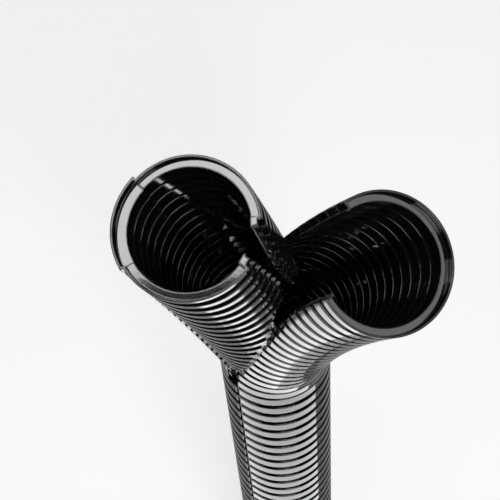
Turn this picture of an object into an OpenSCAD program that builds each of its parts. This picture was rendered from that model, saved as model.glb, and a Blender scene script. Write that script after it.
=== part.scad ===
// Two-part corrugated conduit, NW 36 size, stood on its end.
// An outer shell and an inner shell, both slit along their whole length, lie in one another
// as one closed tube. At the top they are peeled apart, and each bends its own way.
// Millimetres. The conduit stands on its cut base at z = 0, its axis is Z, and the side
// from which the peeled mouths are looked into is -Y.

/* [Conduit] */
// Length of the outer shell as sold, along its middle, rounded to whole waves
length = 500; // [350:50:700]
// Outside diameter over the outer shell's crests
outer_diameter = 42.5; // [38:0.5:48]
// Distance from one wave to the next
pitch = 7.8; // [7.4:0.1:9]
// Wall of both shells
wall = 0.7; // [0.5:0.05:0.8]

/* [Waves] */
// Width of the outer shell's crests
crest_width = 4.9; // [4.4:0.1:5]
// Depth of the outer shell's grooves below its crests
groove_depth = 2.4; // [1.8:0.1:2.6]
// Chamfer on the edges of the crests
crest_chamfer = 0.25; // [0.1:0.05:0.35]

/* [Fit of the shells] */
// Gap left between the two shells across their crests and grooves
radial_gap = 0.3; // [0.2:0.05:0.4]
// Gap left between the two shells along the tube, on each side of a crest
side_gap = 0.12; // [0.1:0.02:0.2]
// Gap round the tube between the raised back and each edge of the outer slit, degrees
back_gap = 1.6; // [1:0.1:3]

/* [Slits] */
// Opening of the outer shell's slit, degrees round the tube
outer_slit = 84; // [60:1:100]
// Opening of the inner shell's slit, degrees round the tube
inner_slit = 30; // [20:1:44]
// How far the groove wall runs on past the closed crest ends as a lip, degrees
lip = 1.8; // [1:0.1:3]
// How far the inner crests end in a lower step beside their slit, degrees
step_run = 6; // [3:0.5:9]
// Drop of that step below the inner crests
step_drop = 1.1; // [0.6:0.1:1.4]

/* [Peeled outer shell] */
// Waves in the tight bend where the outer shell leaves the tube
outer_tight_waves = 3; // [2:1:6]
// Radius of the tight bend, at the middle of the tube
outer_tight_radius = 76; // [70:1:150]
// Waves in the easy bend from there to the mouth
outer_easy_waves = 16; // [8:1:20]
// Radius of the easy bend, at the middle of the tube
outer_easy_radius = 560; // [300:10:900]
// Way in which the outer shell bends, degrees round the tube from +X
outer_way = -54; // [-80:1:-30]
// Way in which the outer slit opens, degrees round the tube from +X
outer_slit_way = 163; // [150:1:185]

/* [Peeled inner shell] */
// Waves by which the inner shell is longer than the outer one
inner_extra_waves = 3; // [0:1:6]
// Waves in the tight bend where the inner shell leaves the tube
inner_tight_waves = 4; // [2:1:6]
// Radius of the tight bend, at the middle of the tube
inner_tight_radius = 110; // [80:1:180]
// Waves in the easy bend from there to the mouth
inner_easy_waves = 18; // [8:1:22]
// Radius of the easy bend, at the middle of the tube
inner_easy_radius = 2400; // [1500:100:6000]
// Waves from its mouth over which the inner shell lies clear in front of the outer one
inner_clear_waves = 9; // [7:1:12]
// Gap left between the inner shell and the edges of the outer slit that it passes
passing_gap = 1; // [0.6:0.1:1.6]
// Way in which the inner shell bends, degrees round the tube from +X
inner_way = -117; // [-150:1:-90]

/* [Hidden] */
$fn = 72;

// The slit of the inner shell lies opposite the outer shell's, under its back.
inner_slit_way = outer_slit_way - 180;

outer_crest = outer_diameter / 2;
outer_root = outer_crest - groove_depth;
inner_crest = outer_crest - wall - radial_gap;
inner_root = outer_root - wall - radial_gap;
inner_width = crest_width - 2 * wall - 2 * side_gap;

// Both ends of a shell are cut through the hollow of a crest, just short of the far side
// of the narrower hollow of the inner shell.
end_cut = inner_width / 2 - wall - 0.1;
waves = round((length - 2 * end_cut) / pitch) + 1;
outer_length = 2 * end_cut + (waves - 1) * pitch;
inner_waves = waves + inner_extra_waves;
inner_length = outer_length + inner_extra_waves * pitch;

// Waves of each shell from its mouth down to the wave where it leaves the tube, and the
// height of that wave.
outer_bent = outer_tight_waves + outer_easy_waves;
inner_bent = inner_tight_waves + inner_easy_waves;
outer_top = outer_length - end_cut - outer_bent * pitch;
inner_top = inner_length - end_cut - inner_bent * pitch;

// Angles left open about each slit, on either side of its middle.
outer_open = outer_slit / 2;
inner_open = inner_slit / 2;
// The raised back of the inner shell fills the outer slit.
back_open = 180 - outer_open + back_gap;

// The shell of groove wall that joins two runs starts this far from a crest's middle.
seam = 0.3;

// Angle round a crest that a wall takes up.
function wall_angle(r) = asin(wall / r);

// The bends of both shells: the height at which they start, the waves and radius of the
// tight bend, and the waves and radius of the easy bend.
outer_bend = [outer_top, outer_tight_waves, outer_tight_radius, outer_easy_waves,
  outer_easy_radius];
inner_bend = [inner_top, inner_tight_waves, inner_tight_radius, inner_easy_waves,
  inner_easy_radius];

// Turn of one wave in a bend.
function step(radius) = pitch / radius * 180 / PI;

// Straight distance between two waves in a bend.
function chord(radius) = 2 * radius * sin(step(radius) / 2);

// Turn of a shell at wave k at the end of its tight bend, and in all.
function tight_turn(k, b) = step(b[2]) * max(0, min(b[1], b[1] + b[3] - k));
function full_turn(k, b) = tight_turn(k, b) + step(b[4]) * max(0, b[3] - k);

// How far the middle of wave k lies out from the straight tube.
function reach(k, b) = b[2] * (1 - cos(tight_turn(k, b)))
  + b[4] * (cos(tight_turn(k, b)) - cos(full_turn(k, b)));

// From the middle of the outer shell to that of the inner one beside it, at inner wave k.
function apart(k) = reach(k, inner_bend) * [cos(inner_way), sin(inner_way)]
  - reach(k - inner_extra_waves, outer_bend) * [cos(outer_way), sin(outer_way)];

// The same as a distance, and as a way counted from the middle of the outer slit.
function distance(k) = norm(apart(k));
function bearing(k) = atan2(apart(k)[1], apart(k)[0]) - outer_slit_way;

// Angle from the middle of the outer slit to its edge, less the gap.
edge = outer_open - passing_gap / outer_root * 180 / PI;

// How far round from the middle of its back the inner shell may reach at wave k before it
// meets the line through the edge of the outer slit, on the side that bearing turn faces.
function behind_edge(k, turn) = distance(k) * sin(edge - turn) >= inner_crest ? 180
  : edge + asin(distance(k) * sin(edge - turn) / inner_crest);

// The same before it meets the outside of the outer shell.
function before_wall(k, turn) = let (
    d = distance(k),
    c = (pow(outer_crest + passing_gap, 2) - d * d - pow(inner_crest, 2))
      / (2 * d * inner_crest)
  ) c <= -1 ? 180 : acos(c) + turn;

// Half-angles left open at inner wave k, on the near side, which turns towards the mouths,
// and on the far side. The walls end where the outer shell's walls are in the way.
function turn_of(k) = (bearing(k) + 540) % 360 - 180;
function near_open(k) = k >= inner_bent ? inner_open
  : max(inner_open, 180 - (k > inner_clear_waves ? behind_edge(k, turn_of(k))
    : before_wall(k, turn_of(k))));
function far_open(k) = k >= inner_bent ? inner_open
  : max(inner_open, 180 - behind_edge(k, -turn_of(k)));

// One crest as seen in section, from its foot at radius r0 out to r1, about height z.
function crest_points(r0, r1, w, z, c) = [
  [r0, z - w / 2],
  [r1 - c, z - w / 2],
  [r1, z - w / 2 + c],
  [r1, z + w / 2 - c],
  [r1 - c, z + w / 2],
  [r0, z + w / 2]
];

// The hollow inside one crest as seen in section.
function hollow_points(r0, r1, w, z) = [
  [r0, z - w / 2],
  [r1, z - w / 2],
  [r1, z + w / 2],
  [r0, z + w / 2]
];

// Turns a section round the tube, leaving an opening about the way at: open degrees to
// its left and, unless other says differently, as much to its right.
module around(open, at, other)
  rotate([0, 0, at + open])
    rotate_extrude(angle = 360 - open - (is_undef(other) ? open : other))
      children();

module crest(r0, r1, w, open, at, c, other)
  around(open, at, other)
    polygon(crest_points(r0, r1, w, 0, c));

module hollow(r0, r1, w, open, at, other)
  around(open, at, other)
    polygon(hollow_points(r0, r1, w, 0));

// All the crests of a straight run, joined at their feet inside the groove wall.
module crest_run(r0, r1, w, open, at, c, heights)
  around(open, at)
    polygon(concat(
      [[r0 - wall * 0.2, heights[0]]],
      [for (z = heights) each crest_points(r0, r1, w, z, c)],
      [[r0 - wall * 0.2, heights[len(heights) - 1]]]
    ));

// The hollows of a straight run, joined in the open middle of the tube.
module hollow_run(r0, r1, w, open, at, heights)
  around(open, at)
    polygon(concat(
      [[r0 - 1, heights[0]]],
      [for (z = heights) each hollow_points(r0, r1, w, z)],
      [[r0 - 1, heights[len(heights) - 1]]]
    ));

// Groove wall of outside radius r between two heights.
module groove(r, from, to, open, at, other)
  around(open, at, other)
    translate([r - wall, from])
      square([wall, to - from]);

// A thin band in the groove wall that joins its runs at a crest, as far as half on each
// side of it, and stands back from both faces of the wall by inset.
module joint_band(r, half, inset, open, at, other)
  around(open, at, other)
    translate([r - wall + inset, -half])
      square([wall - 2 * inset, 2 * half]);

// Carries its children along a bend that starts upright at the origin and leans to +X.
module carried(radius, angle)
  translate([radius, 0, 0])
    rotate([0, angle, 0])
      translate([-radius, 0, 0])
        children();

// Places its children at wave k, counted from the mouth.
module at_wave(k, bend)
  translate([0, 0, bend[0]])
    carried(bend[2], step(bend[2]) * min(bend[1], bend[1] + bend[3] - k))
      carried(bend[4], step(bend[4]) * max(0, bend[3] - k))
        children();

// Places its children at wave k, turned to look at the next wave towards the mouth.
module towards_next(k, bend)
  at_wave(k, bend)
    rotate([0, step(k > bend[3] ? bend[2] : bend[4]) / 2, 0])
      children();

// What is cut off below the base and beyond the mouth.
module beyond_ends(bend) {
  translate([-60, -60, -20])
    cube([120, 120, 20]);
  at_wave(0, bend)
    translate([-60, -60, end_cut])
      cube([120, 120, 20]);
}

module outer_shell() {
  bend = outer_bend;
  at = outer_slit_way - outer_way;
  foot = outer_root - wall / 2;
  crest_open = outer_open + lip;
  hollow_open = crest_open + wall_angle(outer_crest);
  hollow_width = crest_width - 2 * wall;
  core = outer_root - wall - 1;
  heights = [for (k = [waves - 1:-1:outer_bent + 1]) outer_top - (k - outer_bent) * pitch];
  color([0.03, 0.03, 0.035])
    rotate([0, 0, outer_way])
      difference() {
        union() {
          groove(outer_root, -2, outer_top - seam, outer_open, at);
          crest_run(foot, outer_crest, crest_width, crest_open, at, crest_chamfer, heights);
          for (k = [1:outer_bent])
            towards_next(k, bend)
              groove(outer_root, seam,
                chord(k > outer_easy_waves ? outer_tight_radius : outer_easy_radius) - seam,
                outer_open, at);
          at_wave(0, bend)
            groove(outer_root, seam, end_cut + 2, outer_open, at);
          for (k = [0:outer_bent])
            at_wave(k, bend) {
              joint_band(outer_root, 0.8, -0.05, outer_open - 0.2, at);
              crest(foot, outer_crest, crest_width, crest_open, at, crest_chamfer);
            }
        }
        hollow_run(core, outer_crest - wall, hollow_width, hollow_open, at, heights);
        for (k = [0:outer_bent])
          at_wave(k, bend)
            hollow(core, outer_crest - wall, hollow_width, hollow_open, at);
        beyond_ends(bend);
      }
}

module inner_shell() {
  bend = inner_bend;
  at = inner_slit_way - inner_way;
  foot = inner_root - wall / 2;
  low_open = inner_open + lip;
  crest_open = low_open + step_run;
  hollow_open = crest_open + wall_angle(inner_crest);
  back_hollow_open = back_open + wall_angle(outer_crest);
  low = inner_crest - step_drop;
  low_width = inner_width - 0.2;
  hollow_width = inner_width - 2 * wall;
  back_hollow_width = crest_width - 2 * wall;
  core = inner_root - wall - 1;
  heights = [for (k = [inner_waves - 1:-1:inner_bent + 1])
    inner_top - (k - inner_bent) * pitch];
  color([0.03, 0.03, 0.035])
    rotate([0, 0, inner_way])
      difference() {
        union() {
          groove(inner_root, -2, inner_top - seam, inner_open, at);
          crest_run(foot, low, low_width, low_open, at, 0, heights);
          crest_run(foot, inner_crest, inner_width, crest_open, at, crest_chamfer, heights);
          crest_run(foot, outer_crest, crest_width, back_open, at, crest_chamfer, heights);
          for (k = [1:inner_bent])
            towards_next(k, bend)
              groove(inner_root, seam,
                chord(k > inner_easy_waves ? inner_tight_radius : inner_easy_radius) - seam,
                max(far_open(k), far_open(k - 1)), at, max(near_open(k), near_open(k - 1)));
          at_wave(0, bend)
            groove(inner_root, seam, end_cut + 2, inner_open, at);
          for (k = [0:inner_bent])
            at_wave(k, bend) {
              far = far_open(k);
              near = near_open(k);
              joint_band(inner_root, 0.8, -0.05, far - 0.2, at, near - 0.2);
              if (far + near > 2 * inner_open || k == inner_bent)
                joint_band(inner_root, crest_width / 2 + 0.15, 0.2, far + 0.1, at,
                  near + 0.1);
              crest(foot, low, low_width, far + lip, at, 0, near + lip);
              crest(foot, inner_crest, inner_width, far + lip + step_run, at,
                crest_chamfer, near + lip + step_run);
              crest(foot, outer_crest, crest_width, max(back_open, far + lip), at,
                crest_chamfer, max(back_open, near + lip));
            }
        }
        hollow_run(core, inner_crest - wall, hollow_width, hollow_open, at, heights);
        hollow_run(core, outer_crest - wall, back_hollow_width, back_hollow_open, at,
          heights);
        for (k = [0:inner_bent])
          at_wave(k, bend) {
            more = lip + step_run + wall_angle(inner_crest);
            back_more = lip + wall_angle(outer_crest);
            hollow(core, inner_crest - wall, hollow_width, far_open(k) + more, at,
              near_open(k) + more);
            hollow(core, outer_crest - wall, back_hollow_width,
              max(back_hollow_open, far_open(k) + back_more), at,
              max(back_hollow_open, near_open(k) + back_more));
          }
        beyond_ends(bend);
      }
}

outer_shell();
inner_shell();
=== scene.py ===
# %% [markdown]
# # Two-part corrugated conduit, peeled open
#
# The object is a divisible conduit: two slit shells of black plastic, one lying in the
# other as a closed corrugated tube. At the top the shells are peeled apart into a Y, and
# each shows its mouth and its slit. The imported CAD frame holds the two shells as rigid
# solids. Two skins of the same sizes and bends replace them here, because the slits of the
# real shells twist and close as they are pulled open. The script then adds the plastic, a
# floor, the light and the camera.

# %% Load the frame
import math

import bmesh
import bpy
import numpy as np
from mathutils import Matrix, Vector


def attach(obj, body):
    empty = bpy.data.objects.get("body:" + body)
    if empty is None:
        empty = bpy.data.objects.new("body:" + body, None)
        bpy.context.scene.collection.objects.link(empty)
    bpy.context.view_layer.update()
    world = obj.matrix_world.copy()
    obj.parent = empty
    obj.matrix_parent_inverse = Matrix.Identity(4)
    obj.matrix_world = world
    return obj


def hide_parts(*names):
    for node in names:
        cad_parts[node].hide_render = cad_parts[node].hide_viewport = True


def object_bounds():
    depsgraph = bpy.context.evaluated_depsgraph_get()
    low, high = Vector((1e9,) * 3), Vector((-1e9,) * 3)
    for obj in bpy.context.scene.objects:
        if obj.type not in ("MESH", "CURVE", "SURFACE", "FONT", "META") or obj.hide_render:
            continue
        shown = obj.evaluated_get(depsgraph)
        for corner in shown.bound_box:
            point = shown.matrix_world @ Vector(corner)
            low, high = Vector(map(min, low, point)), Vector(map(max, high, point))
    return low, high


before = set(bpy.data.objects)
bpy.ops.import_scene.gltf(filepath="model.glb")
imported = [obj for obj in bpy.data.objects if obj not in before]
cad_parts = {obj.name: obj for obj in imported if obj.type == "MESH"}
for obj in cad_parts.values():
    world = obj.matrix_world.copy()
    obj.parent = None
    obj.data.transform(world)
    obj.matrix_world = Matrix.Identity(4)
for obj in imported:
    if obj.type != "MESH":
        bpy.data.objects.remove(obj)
cad_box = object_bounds()
print("nodes:", sorted(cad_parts))
print("box:", [[round(v, 4) for v in corner] for corner in cad_box])

# %% [markdown]
# ## Small helpers
#
# Nodes are placed by name, and every constant is set straight on its socket. A shared
# effect is a node group with named sockets, so that it can be used again elsewhere.

# %% Helpers for node trees


def add(tree, kind, **values):
    """Adds a node and sets its inputs by name, with any spaces written as underscores."""
    node = tree.nodes.new(kind)
    for name, value in values.items():
        node.inputs[name.replace("_", " ")].default_value = value
    return node


def math_node(tree, operation, a, b, clamp=False):
    """Adds a Math node. Each of a and b is a number or another node's output."""
    node = tree.nodes.new("ShaderNodeMath")
    node.operation = operation
    node.use_clamp = clamp
    for i, value in enumerate((a, b)):
        if isinstance(value, (int, float)):
            node.inputs[i].default_value = value
        else:
            tree.links.new(value, node.inputs[i])
    return node.outputs[0]


def new_group(name, inputs, outputs):
    """Makes a node group with named sockets and returns it with its two end nodes."""
    group = bpy.data.node_groups.new(name, "ShaderNodeTree")
    for label, kind, value in inputs:
        socket = group.interface.new_socket(label, in_out="INPUT", socket_type=kind)
        socket.default_value = value
    for label, kind in outputs:
        group.interface.new_socket(label, in_out="OUTPUT", socket_type=kind)
    return group, group.nodes.new("NodeGroupInput"), group.nodes.new("NodeGroupOutput")


# %% [markdown]
# ## The plastic
#
# The shells are of glossy black plastic, with a faint haze that varies from place to place,
# fine lines left by the forming and a little dust. A noise at two scales gives the haze and
# the dust, and a stretched one gives the lines. The group takes object coordinates, so the
# pattern sticks to the part at real size. The edges of the waves are rounded in the normal
# only: that is what draws the thin lit arcs on the ribs inside the mouths.

# %% Group: haze, forming lines and dust of moulded plastic
HAZE_FROM, HAZE_GAIN = 0.45, 2.2
SPECK_FROM, SPECK_GAIN = 0.66, 5.0
LINE_HEIGHT, SPECK_HEIGHT = 0.6, 0.25
haze, haze_in, haze_out = new_group(
    "plastic_surface",
    [
        ("Vector", "NodeSocketVector", (0.0, 0.0, 0.0)),
        ("Base", "NodeSocketColor", (0.01, 0.01, 0.011, 1.0)),
        ("Dust", "NodeSocketColor", (0.06, 0.06, 0.06, 1.0)),
        ("Gloss", "NodeSocketFloat", 0.12),
        ("Haze", "NodeSocketFloat", 0.12),
    ],
    [
        ("Color", "NodeSocketColor"),
        ("Roughness", "NodeSocketFloat"),
        ("Height", "NodeSocketFloat"),
    ],
)
broad = add(haze, "ShaderNodeTexNoise", Scale=45.0, Detail=3.0, Roughness=0.55)
fine = add(haze, "ShaderNodeTexNoise", Scale=1400.0, Detail=2.0, Roughness=0.6)
stretch = add(haze, "ShaderNodeMapping", Scale=(1.0, 1.0, 14.0))
lines = add(haze, "ShaderNodeTexNoise", Scale=160.0, Detail=2.0, Roughness=0.5)
for node in (broad, fine, stretch):
    haze.links.new(haze_in.outputs["Vector"], node.inputs["Vector"])
haze.links.new(stretch.outputs["Vector"], lines.inputs["Vector"])
patch = math_node(haze, "SUBTRACT", broad.outputs[0], HAZE_FROM)
patch = math_node(haze, "MULTIPLY", patch, HAZE_GAIN, clamp=True)
speck = math_node(haze, "SUBTRACT", fine.outputs[0], SPECK_FROM)
speck = math_node(haze, "MULTIPLY", speck, SPECK_GAIN, clamp=True)
dust = math_node(haze, "MULTIPLY", speck, patch)
mix = haze.nodes.new("ShaderNodeMix")
mix.data_type = "RGBA"
haze.links.new(dust, mix.inputs["Factor"])
haze.links.new(haze_in.outputs["Base"], mix.inputs[6])
haze.links.new(haze_in.outputs["Dust"], mix.inputs[7])
haze.links.new(mix.outputs[2], haze_out.inputs["Color"])
rough = math_node(haze, "MULTIPLY", patch, haze_in.outputs["Haze"])
rough = math_node(haze, "ADD", rough, haze_in.outputs["Gloss"])
haze.links.new(rough, haze_out.inputs["Roughness"])
height = math_node(haze, "MULTIPLY", lines.outputs[0], LINE_HEIGHT)
grain = math_node(haze, "MULTIPLY", fine.outputs[0], SPECK_HEIGHT)
height = math_node(haze, "ADD", height, grain)
haze.links.new(height, haze_out.inputs["Height"])
print("plastic_surface:", len(haze.nodes), "nodes")

# %% Material: black gloss plastic of both shells
EDGE_RADIUS, EDGE_SAMPLES = 0.0006, 6


def gloss_plastic(name, base, dust, gloss, haze_amount, bump):
    """Returns a glossy plastic whose haze, dust and lines come from plastic_surface."""
    material = bpy.data.materials.new(name)
    material.use_nodes = True
    tree = material.node_tree
    shader = tree.nodes["Principled BSDF"]
    coords = tree.nodes.new("ShaderNodeTexCoord")
    surface = tree.nodes.new("ShaderNodeGroup")
    surface.node_tree = haze
    surface.inputs["Base"].default_value = base
    surface.inputs["Dust"].default_value = dust
    surface.inputs["Gloss"].default_value = gloss
    surface.inputs["Haze"].default_value = haze_amount
    tree.links.new(coords.outputs["Object"], surface.inputs["Vector"])
    tree.links.new(surface.outputs["Color"], shader.inputs["Base Color"])
    tree.links.new(surface.outputs["Roughness"], shader.inputs["Roughness"])
    edge = add(tree, "ShaderNodeBevel", Radius=EDGE_RADIUS)
    edge.samples = EDGE_SAMPLES
    relief = add(tree, "ShaderNodeBump", Strength=bump, Distance=0.0001)
    tree.links.new(surface.outputs["Height"], relief.inputs["Height"])
    tree.links.new(edge.outputs["Normal"], relief.inputs["Normal"])
    tree.links.new(relief.outputs["Normal"], shader.inputs["Normal"])
    shader.inputs["IOR"].default_value = 1.5
    return material


black = gloss_plastic("black_plastic", base=(0.006, 0.006, 0.0065, 1.0),
                      dust=(0.05, 0.05, 0.05, 1.0), gloss=0.05, haze_amount=0.05, bump=0.06)
for name in ("outer_shell", "inner_shell"):
    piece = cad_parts[name]
    for slot in piece.material_slots:
        slot.material = black
    print(name, "faces:", len(piece.data.polygons), "slots:", len(piece.material_slots))

# %% [markdown]
# ## The two shells
#
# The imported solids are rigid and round, so over some ten waves the side walls of the inner
# shell end short of the outer shell. The real shells are soft: both bend a little out of
# round there, the slits twist as they are pulled open, and the inner slit closes as it goes
# down. These two skins have the same sizes, waves and bends as the solids and add that.
# They cross each other a little in every wave, as the solids do, and more by the fork,
# where the real shells give way to each other. Fit for looking at, not for measuring a gap.
#
# Each skin is one section swept round the tube: a row of points for each corner of the
# section, and a column for each angle. A column has a level, which says what the section
# looks like there: bare groove wall at the slit's edge, then the crest, with its hollow a
# wall further.

# %% Sizes of the shells, in millimetres and degrees
WALL, PITCH, END_CUT = 0.7, 7.8, 0.83
OUTER_CREST, OUTER_ROOT = 21.25, 18.85
INNER_CREST, INNER_ROOT = 20.25, 17.85
CREST_WIDTH, INNER_WIDTH, CHAMFER = 4.9, 3.26, 0.25
LOW_CREST, LOW_WIDTH = INNER_CREST - 1.1, INNER_WIDTH - 0.2
LIP, STEP_RUN, GAP = 1.8, 6.0, 1.0
TOP = 351.83
EXTRA_WAVES = 3
OUTER = dict(waves=65, bend=(3, 76.0, 16, 560.0), way=-54.0)
INNER = dict(waves=68, bend=(4, 110.0, 18, 2400.0), way=-117.0)


def bent(shell):
    """Waves of a shell that are bent."""
    return shell["bend"][0] + shell["bend"][2]


def placement(shell, k):
    """Where wave k from the mouth lies, as a matrix."""
    tight, tight_radius, easy, easy_radius = shell["bend"]
    matrix = Matrix.Rotation(math.radians(shell["way"]), 4, "Z")
    matrix @= Matrix.Translation((0.0, 0.0, TOP - PITCH * max(0, k - bent(shell))))
    for radius, count in ((tight_radius, min(tight, bent(shell) - k)), (easy_radius, easy - k)):
        if count > 0:
            matrix @= Matrix.Translation((radius, 0.0, 0.0))
            matrix @= Matrix.Rotation(PITCH / radius * count, 4, "Y")
            matrix @= Matrix.Translation((-radius, 0.0, 0.0))
    return matrix


def between(table, k):
    """Value of a table of (wave, value) pairs at wave k."""
    return float(np.interp(k, [row[0] for row in table], [row[1] for row in table]))


# %% Edges of the slits, by wave from the mouth down, as angles round the tube from +X
OUTER_NEAR = [(0, 206.0), (19, 222.5)]
OUTER_FAR = [(0, 126.0), (19, 143.5)]
INNER_MIDDLE = [(0, -21.6), (5, -22.0), (22, 3.0)]
BACK = [(0, 166.0), (22, 183.0)]
BACK_HALF, BACK_ROOM = 37.9, 1.0
# Half the inner slit at its mouth, what it loses with each wave, and the least it has
SLIT_HALF, SLIT_LOSS, SLIT_LEAST = 12.0, 1.75, 3.5
# Down to this wave the far edge is not cut back beside the outer shell
FREE_WAVES = 9
SAME_PLACE = 0.01


def outer_edges(k):
    """Near and far edge of the outer slit at wave k."""
    return between(OUTER_NEAR, k), between(OUTER_FAR, k)


def inner_edges(k):
    """Far and near edge of the inner slit at wave k, cut back beside the outer shell."""
    middle = between(INNER_MIDDLE, k)
    half = max(SLIT_LEAST, SLIT_HALF - SLIT_LOSS * k)
    far, near = middle + half, middle + 360.0 - half
    if k >= bent(INNER):
        return far, near
    beside_wave = k - EXTRA_WAVES
    apart = placement(INNER, k).translation - placement(OUTER, beside_wave).translation
    distance = math.hypot(apart.x, apart.y)
    if distance < SAME_PLACE:
        return far, near
    slit_near, slit_far = outer_edges(beside_wave)
    beside = (slit_near + slit_far) / 2.0
    edge = (slit_near - slit_far) / 2.0 - math.degrees(GAP / OUTER_ROOT)
    bearing = (math.degrees(math.atan2(apart.y, apart.x)) - beside + 900.0) % 360.0 - 180.0

    def reach(turn):
        """How far round the inner wall gets before the outer shell's edge or wall."""
        c = distance * math.sin(math.radians(edge - turn)) / INNER_CREST
        behind = 180.0 if c >= 1.0 else edge + math.degrees(math.asin(max(-1.0, c)))
        c = ((OUTER_CREST + GAP) ** 2 - distance ** 2 - INNER_CREST ** 2)
        c /= 2.0 * distance * INNER_CREST
        if c > 1.0:
            before = 0.0
        elif c <= -1.0:
            before = 180.0
        else:
            before = math.degrees(math.acos(c)) + turn
        return max(behind, before)

    c = (OUTER_CREST * math.cos(math.radians(slit_near)) - apart.x) / INNER_CREST
    seen = 540.0 if c >= 1.0 else 360.0 - math.degrees(math.acos(max(-1.0, c)))
    if k > FREE_WAVES:
        far = max(far, beside - reach(-bearing))
    return far, min(near, seen, beside + reach(bearing))


for k in (0, 8, 16, 24):
    print("wave", k, "outer slit:", [round(edge, 1) for edge in outer_edges(k)],
          "inner slit:", [round(edge, 1) for edge in inner_edges(k)])


# %% Levels of the section, each with its radius, width and chamfer
def levels(root, *crests):
    """Bare wall first, then each crest."""
    return [(root, crests[0][1], 0.0), *crests]


OUTER_LEVELS = levels(OUTER_ROOT, (OUTER_CREST, CREST_WIDTH, CHAMFER))
INNER_LEVELS = levels(INNER_ROOT, (LOW_CREST, LOW_WIDTH, 0.0),
                      (INNER_CREST, INNER_WIDTH, CHAMFER), (OUTER_CREST, CREST_WIDTH, CHAMFER))


# Columns along the outer crest, and along the inner one before, on and after its back
OUTER_RUN, SIDE_RUN, BACK_RUN, OTHER_RUN = 71, 33, 19, 28


def wall_angle(radius):
    """Angle round the tube that a wall takes up."""
    return math.degrees(math.asin(WALL / radius))


def outer_columns(k):
    """Angle, outer level and hollow level of each column of the outer shell."""
    near, far = outer_edges(k)
    far += 360.0
    a, b = LIP, LIP + wall_angle(OUTER_CREST)
    start = [(near, 0, 0), (near + a, 0, 0), (near + a, 1, 0), (near + b, 1, 0),
             (near + b, 1, 1)]
    stop = [(far - b, 1, 1), (far - b, 1, 0), (far - a, 1, 0), (far - a, 0, 0), (far, 0, 0)]
    run = [(t, 1, 1) for t in np.linspace(near + b, far - b, OUTER_RUN)[1:-1]]
    return start + run + stop


def inner_columns(k):
    """The same for the inner shell, with its low steps and its raised back."""
    far, near = inner_edges(k)
    a, b = LIP, LIP + STEP_RUN
    c = b + wall_angle(INNER_CREST)
    rise = wall_angle(OUTER_CREST)
    centre = between(BACK, k)
    back_from = max(centre - BACK_HALF, far + c + BACK_ROOM)
    back_to = min(centre + BACK_HALF, near - c - BACK_ROOM)
    side = [(far, 0, 0), (far + a, 0, 0), (far + a, 1, 0), (far + b, 1, 0), (far + b, 2, 0),
            (far + c, 2, 0), (far + c, 2, 2)]
    side += [(t, 2, 2) for t in np.linspace(far + c, back_from, SIDE_RUN)[1:-1]]
    back = [(back_from, 2, 2), (back_from, 3, 2), (back_from + rise, 3, 2),
            (back_from + rise, 3, 3)]
    back += [(t, 3, 3)
             for t in np.linspace(back_from + rise, back_to - rise, BACK_RUN)[1:-1]]
    back += [(back_to - rise, 3, 3), (back_to - rise, 3, 2), (back_to, 3, 2),
             (back_to, 2, 2)]
    other = [(t, 2, 2) for t in np.linspace(back_to, near - c, OTHER_RUN)[1:-1]]
    other += [(near - c, 2, 2), (near - c, 2, 0), (near - b, 2, 0), (near - b, 1, 0),
              (near - a, 1, 0), (near - a, 0, 0), (near, 0, 0)]
    return side + back + other


# %% Sweep the sections into meshes
MILLIMETRE, MERGE, SHARP_FROM = 0.001, 1e-6, 28.0


def section(levels, root, outer, hollow, first, last):
    """Corners of one wave, outside going up and inside coming down, as (radius, height)."""
    radius, width, chamfer = levels[outer]
    half = width / 2.0
    foot = max(root, radius - chamfer)
    inside, hollow_half = root - WALL, levels[max(hollow, 1)][1] / 2.0 - WALL
    if hollow:
        inside = levels[hollow][0] - WALL
    up = [(root, -half), (foot, -half), (radius, chamfer - half), (radius, half - chamfer),
          (foot, half), (root, half)]
    down = [(root - WALL, hollow_half), (inside, hollow_half), (inside, -hollow_half),
            (root - WALL, -hollow_half)]
    if first:
        up = up[:3] + [(radius, END_CUT)]
        down = [(inside, END_CUT)] + down[2:]
    if last:
        up = [(radius, -END_CUT)] + up[3:]
        down = down[:2] + [(inside, -END_CUT)]
    return up, down


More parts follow.
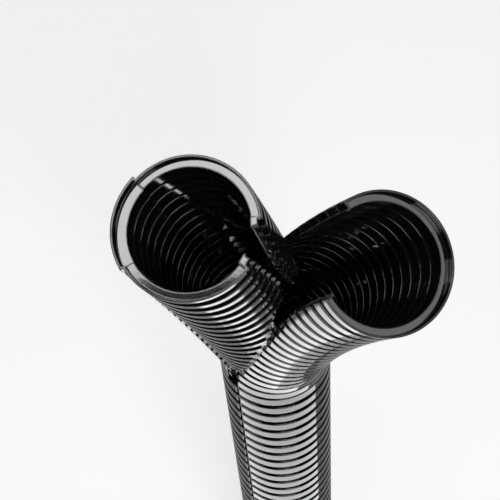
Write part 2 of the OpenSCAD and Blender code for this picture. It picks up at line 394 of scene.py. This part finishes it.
def skin(name, shell, levels, root, columns):
    """Builds one shell as a mesh, in metres, and returns the object."""
    outside, inside = [], []
    for k in range(shell["waves"]):
        matrix = np.array([row[:] for row in placement(shell, k)])
        rows = []
        for angle, outer, hollow in columns(k):
            up, down = section(levels, root, outer, hollow, k == 0, k == shell["waves"] - 1)
            t = math.radians(angle - shell["way"])
            rows.append([(r * math.cos(t), r * math.sin(t), z, 1.0) for r, z in up + down])
        rows = (np.array(rows).transpose(1, 0, 2) @ matrix.T)[:, :, :3] * MILLIMETRE
        outside.append(list(rows[:len(up)]))
        inside.append(list(rows[len(up):]))
    rows, outer_rows, inner_rows = [], [], []
    for wave in reversed(outside):
        outer_rows.insert(0, range(len(rows), len(rows) + len(wave)))
        rows += wave
    for wave in inside:
        inner_rows.append(range(len(rows), len(rows) + len(wave)))
        rows += wave
    count = len(rows[0])
    faces = []
    for p in range(len(rows)):
        q = (p + 1) % len(rows)
        faces += [(p * count + j, p * count + j + 1, q * count + j + 1, q * count + j)
                  for j in range(count - 1)]
    for j in (0, count - 1):
        for k in range(shell["waves"]):
            faces.append([p * count + j for p in (*outer_rows[k], *inner_rows[k])])
            if k:
                faces.append([p * count + j for p in (
                    outer_rows[k][-1], outer_rows[k - 1][0],
                    inner_rows[k - 1][-1], inner_rows[k][0])])
    mesh = bpy.data.meshes.new(name)
    mesh.from_pydata(np.concatenate(rows).tolist(), [], faces)
    work = bmesh.new()
    work.from_mesh(mesh)
    bmesh.ops.remove_doubles(work, verts=work.verts, dist=MERGE)
    bmesh.ops.recalc_face_normals(work, faces=work.faces)
    for face in work.faces:
        face.smooth = True
    work.to_mesh(mesh)
    open_edges = sum(1 for edge in work.edges if not edge.is_manifold)
    work.free()
    mesh.set_sharp_from_angle(angle=math.radians(SHARP_FROM))
    piece = bpy.data.objects.new(name, mesh)
    bpy.context.collection.objects.link(piece)
    print(name, "faces:", len(mesh.polygons), "open edges:", open_edges)
    return piece


outer_skin = skin("outer_skin", OUTER, OUTER_LEVELS, OUTER_ROOT, outer_columns)
inner_skin = skin("inner_skin", INNER, INNER_LEVELS, INNER_ROOT, inner_columns)
for piece, node in ((outer_skin, "outer_shell"), (inner_skin, "inner_shell")):
    piece.data.materials.append(black)
    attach(piece, "root")
    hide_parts(node)

# %% [markdown]
# ## Floor
#
# The conduit stands on its cut base. The floor is plain and pale. For the camera it is
# lifted to white by the camera ray alone, so that no more light falls on the black
# plastic, and the shadow on it stays.

# %% Floor
FLOOR_SIZE, FLOOR_GAP = 6.0, 0.0005
floor_height = cad_box[0][2] - FLOOR_GAP
bpy.ops.mesh.primitive_plane_add(size=FLOOR_SIZE, location=(0.0, 0.0, floor_height))
floor = bpy.context.object
floor.name = "floor"
pale = bpy.data.materials.new("pale_floor")
pale.use_nodes = True
tree = pale.node_tree
shader = tree.nodes["Principled BSDF"]
shader.inputs["Base Color"].default_value = (0.82, 0.82, 0.82, 1.0)
shader.inputs["Roughness"].default_value = 0.9
glow = add(tree, "ShaderNodeEmission", Color=(1.0, 1.0, 1.0, 1.0), Strength=0.58)
both = tree.nodes.new("ShaderNodeAddShader")
pick = tree.nodes.new("ShaderNodeMixShader")
path = tree.nodes.new("ShaderNodeLightPath")
out = tree.nodes["Material Output"]
tree.links.new(shader.outputs[0], both.inputs[0])
tree.links.new(glow.outputs[0], both.inputs[1])
tree.links.new(path.outputs["Is Camera Ray"], pick.inputs[0])
tree.links.new(shader.outputs[0], pick.inputs[1])
tree.links.new(both.outputs[0], pick.inputs[2])
tree.links.new(pick.outputs[0], out.inputs["Surface"])
floor.data.materials.append(pale)
print("floor at", round(floor_height, 4))

# %% [markdown]
# ## Light
#
# Glossy black plastic shows only what it reflects, so each light is put where one set of
# faces looks. A wide panel by the floor in front lights the flats of the crests and ends
# sharply before the slits. A box high on each side lights the cut end of one mouth. Two
# boxes between them draw the arcs on the ribs inside. The rest stays dark. The surroundings
# are white for the camera alone.

# %% Lights


def panel(name, centre, target, width, height, power):
    """Adds a rectangular softbox at centre that faces target."""
    data = bpy.data.lights.new(name, "AREA")
    data.shape = "RECTANGLE"
    data.size = width
    data.size_y = height
    data.energy = power
    light = bpy.data.objects.new(name, data)
    bpy.context.collection.objects.link(light)
    direction = Vector(target) - Vector(centre)
    light.location = centre
    light.rotation_euler = direction.to_track_quat("-Z", "Y").to_euler()
    return light


FORK = (0.0, -0.05, 0.5)
BOXES = [
    ("left_box", (-0.43, 0.026, 1.75), 0.36, 0.296, 4.5),
    ("right_box", (1.16, -0.46, 1.70), 0.36, 0.50, 1.7),
    ("top_box", (0.25, -1.25, 1.70), 0.60, 0.50, 11.0),
    ("crown_box", (0.0, -0.35, 1.70), 0.30, 0.30, 2.4),
]
front = panel("front_panel", (-0.14, -0.298, 0.012), (-0.14, -0.298, 1.0), 0.90, 0.60, 4.2)
front.rotation_euler = (math.pi, 0.0, math.radians(-6.0))
lights = [front]
lights += [panel(name, centre, FORK, width, height, power)
           for name, centre, width, height, power in BOXES]
for light in lights:
    light.visible_camera = False
    print(light.name, round(light.data.energy, 2), "W")

# %% Surroundings
WHITE = (1.0, 1.0, 1.0, 1.0)
world = bpy.data.worlds.new("studio")
bpy.context.scene.world = world
world.use_nodes = True
sky = world.node_tree
dim = sky.nodes["Background"]
dim.inputs["Color"].default_value = WHITE
dim.inputs["Strength"].default_value = 0.05
behind = add(sky, "ShaderNodeBackground", Color=WHITE, Strength=0.90)
choice = sky.nodes.new("ShaderNodeMixShader")
rays = sky.nodes.new("ShaderNodeLightPath")
sky.links.new(rays.outputs["Is Camera Ray"], choice.inputs[0])
sky.links.new(dim.outputs[0], choice.inputs[1])
sky.links.new(behind.outputs[0], choice.inputs[2])
sky.links.new(choice.outputs[0], sky.nodes["World Output"].inputs["Surface"])
print("world light:", round(dim.inputs["Strength"].default_value, 3))

# %% [markdown]
# ## Camera
#
# The camera stands in front of the mouths and looks steeply down into them, with a small
# roll, so that the closed tube runs out of the bottom of the picture.

# %% Camera
SENSOR = 36.0
LENS = SENSOR * 1377.7 / 500.0
STAND = (-0.00626, -0.23708, 0.82794)
DOWN, TURN, ROLL = 1.033, -0.0031, -0.1026
camera_data = bpy.data.cameras.new("camera")
camera_data.sensor_width = SENSOR
camera_data.lens = LENS
camera = bpy.data.objects.new("camera", camera_data)
bpy.context.collection.objects.link(camera)
look = Vector((-math.sin(TURN) * math.cos(DOWN), math.cos(TURN) * math.cos(DOWN),
               -math.sin(DOWN)))
turn = look.to_track_quat("-Z", "Y").to_matrix().to_4x4()
camera.matrix_world = Matrix.Translation(STAND) @ turn @ Matrix.Rotation(ROLL, 4, "Z")
bpy.context.scene.camera = camera
bpy.context.scene.view_settings.view_transform = "Standard"
print("lens:", round(LENS, 1), "mm")
